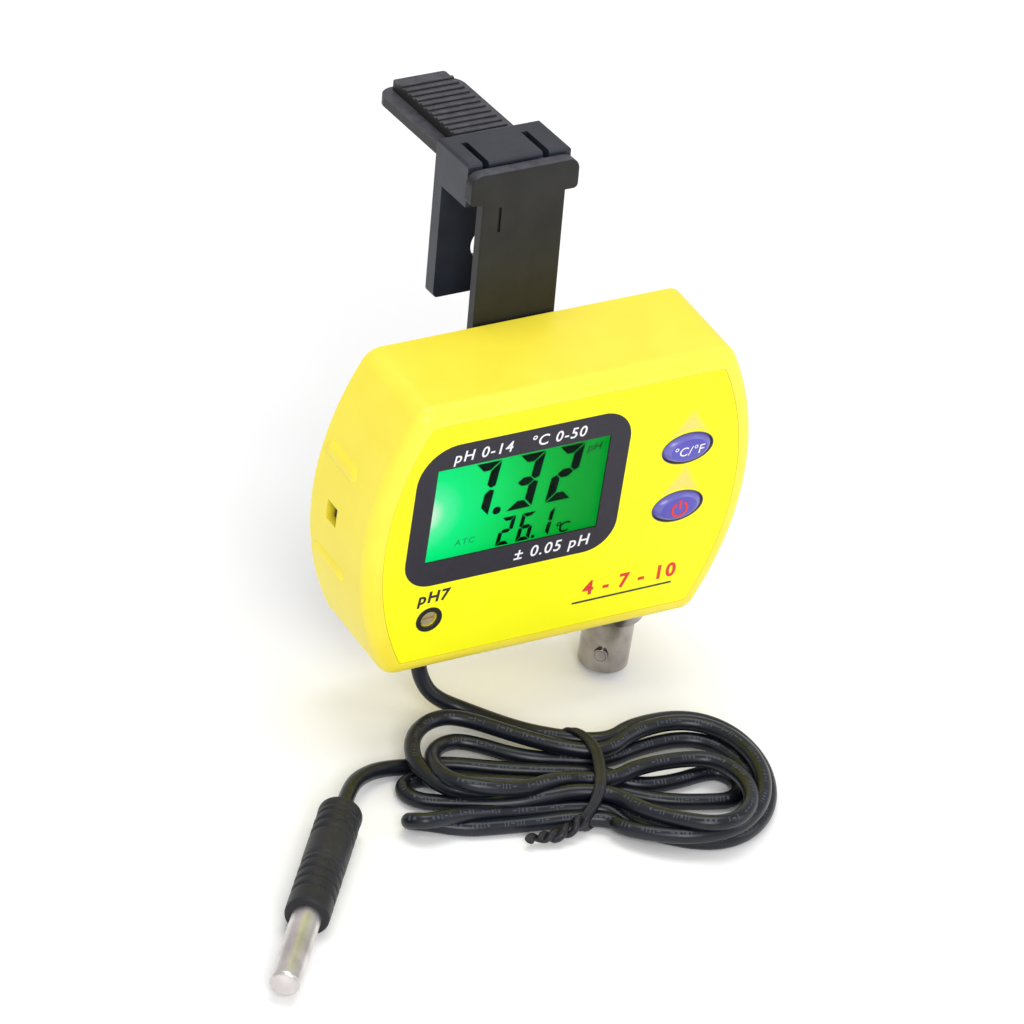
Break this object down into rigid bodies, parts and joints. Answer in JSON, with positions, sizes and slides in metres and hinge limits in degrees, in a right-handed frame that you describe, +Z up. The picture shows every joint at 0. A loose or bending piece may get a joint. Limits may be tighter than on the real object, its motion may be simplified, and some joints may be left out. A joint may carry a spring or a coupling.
{
  "type": "ph meter",
  "caption": "Clip-on pH and temperature monitor with backlit display, rim clip, BNC socket for a pH electrode and a temperature probe on a folded lead",
  "frame": {"origin": "seat of the tank rim: on the underside of the clip's sliding block, halfway between the strip and the leg", "axes": "+Z up, the display faces -Y, +X is to the right of someone who reads the display"},
  "size_m": [0.1232, 0.1254, 0.1065],
  "materials": {
    "yellow_shell": "satin moulded ABS",
    "dark_cover": "fine spark-eroded texture",
    "label": "printed polyester overlay",
    "clear_lens": "clear acrylic",
    "lcd": "backlit LCD",
    "frame_plastic": "moulded",
    "light_guide": "frosted acrylic",
    "led": "moulded resin",
    "elastomer": "conductive rubber",
    "board": "solder mask",
    "screw_steel": "zinc plated",
    "epoxy": "moulded epoxy",
    "crystal_can": "drawn can",
    "capacitor_sleeve": "shrink sleeve",
    "switch_body": "moulded",
    "violet_button": "silicone rubber",
    "trimmer_plastic": "moulded",
    "brass": "turned",
    "black_eyelet": "moulded",
    "spring_steel": "nickel plated",
    "cell_jacket": "printed foil",
    "nickel": "nickel plated brass",
    "ptfe": "moulded",
    "wire": "PVC insulated",
    "black_rubber": "PVC sheath",
    "grip_rubber": "moulded rubber",
    "stainless": "polished",
    "clip_plastic": "moulded ABS",
    "jaw_plastic": "moulded ABS"
  },
  "bodies": {
    "case": {"front_case": "yellow_shell", "rear_cover": "dark_cover", "front_label": "label", "display_lens": "clear_lens", "lcd_glass": "lcd", "lcd_frame": "frame_plastic", "backlight_guide": "light_guide", "backlight_led": "led", "contact_strips": "elastomer", "main_board": "board", "board_screws": "screw_steel", "display_driver": "epoxy", "op_amp": "epoxy", "regulator": "epoxy", "clock_crystal": "crystal_can", "capacitors": "capacitor_sleeve", "temp_unit_switch": "switch_body", "power_switch": "switch_body", "trimmer_body": "trimmer_plastic", "bnc_contact": "brass", "trimmer_ring": "black_eyelet", "cell_springs": "spring_steel", "battery_link": "spring_steel", "battery_contact_plus": "spring_steel", "battery_contact_minus": "spring_steel", "battery_cell_lower": "cell_jacket", "battery_cell_upper": "cell_jacket", "bnc_shell": "nickel", "bnc_washer": "nickel", "bnc_nut": "nickel", "bnc_insulator": "ptfe", "jack_wires": "wire", "cable_grommet": "black_rubber", "inner_lead": "black_rubber", "lead_in": "black_rubber", "lead_out": "black_rubber", "cord_hank": "black_rubber", "cord_tie": "black_rubber", "probe_grip": "grip_rubber", "probe_tube": "stainless"},
    "temp_unit_button": {"temp_unit_button": "violet_button"},
    "power_button": {"power_button": "violet_button"},
    "trimmer_screw": {"trimmer_screw": "brass"},
    "clip_arm": {"clip_arm": "clip_plastic"},
    "clip_jaw": {"clip_jaw": "jaw_plastic"},
    "battery_door": {"battery_door": "dark_cover"}
  },
  "joints": [
    {"name": "temp_unit_press", "type": "slide", "parent": "case", "child": "temp_unit_button", "axis": [0, 1, 0], "range_m": [0, 0.0006], "stiffness_N_per_m": 1500, "springref_m": -0.0001},
    {"name": "power_press", "type": "slide", "parent": "case", "child": "power_button", "axis": [0, 1, 0], "range_m": [0, 0.0006], "stiffness_N_per_m": 1500, "springref_m": -0.0001},
    {"name": "trimmer_turn", "type": "hinge", "parent": "case", "child": "trimmer_screw", "pos_m": [-0.0233, -0.02883, -0.06896], "axis": [0, -1, 0], "range_deg": [-130, 130]},
    {"name": "clip_lift", "type": "slide", "parent": "case", "child": "clip_arm", "axis": [0, 0.1045, 0.9945], "range_m": [-0.001, 0.01]},
    {"name": "jaw_slide", "type": "slide", "parent": "clip_arm", "child": "clip_jaw", "axis": [0, 0.9945, -0.1045], "range_m": [0, 0.024]},
    {"name": "battery_door_hinge", "type": "hinge", "parent": "case", "child": "battery_door", "pos_m": [-0.006, -0.01048, -0.07401], "axis": [-1, 0, 0], "range_deg": [0, 100]}
  ]
}
